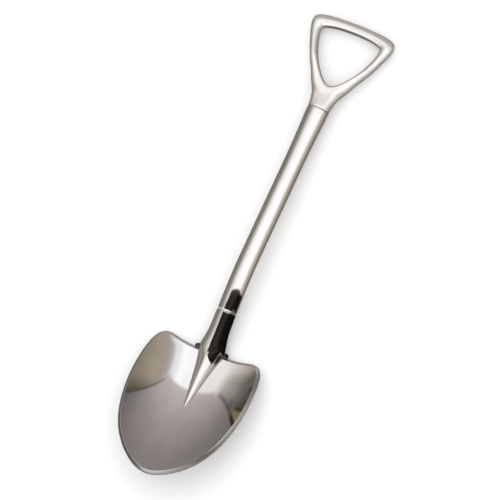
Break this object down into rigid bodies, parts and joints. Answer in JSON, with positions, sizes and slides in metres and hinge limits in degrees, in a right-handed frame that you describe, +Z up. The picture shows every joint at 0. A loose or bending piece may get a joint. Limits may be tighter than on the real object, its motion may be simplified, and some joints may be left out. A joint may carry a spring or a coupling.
{
  "type": "detecting shovel",
  "caption": "All-steel digging shovel with closed D-grip, round tubular shaft, cranked socket and dished round-point blade with foot shoulders.",
  "frame": {"origin": "on the ground under the middle of the bounding box, with the shovel lying face up on its crossbar and socket heel", "axes": "+Y along the shaft towards the D-grip, +X across the blade to the right as seen from above with the grip up, +Z up out of the blade's dished face"},
  "size_m": [0.1766, 0.7123, 0.0757],
  "materials": {
    "polished_steel": "mirror-polished stainless steel with fine wipe marks and soft edge wear",
    "plain_steel": "turned and linished stainless steel"
  },
  "bodies": {
    "root": {"d_grip": "polished_steel", "upper_spigot": "plain_steel", "shaft_tube": "polished_steel", "lower_spigot": "plain_steel", "blade_socket": "polished_steel", "blade": "polished_steel", "weld_left": "polished_steel", "weld_right": "polished_steel", "grip_pin": "plain_steel", "shaft_top_pin": "plain_steel", "shaft_low_pin": "plain_steel", "socket_pin": "plain_steel", "blade_rivet_upper": "plain_steel", "blade_rivet_lower": "plain_steel"}
  },
  "joints": []
}
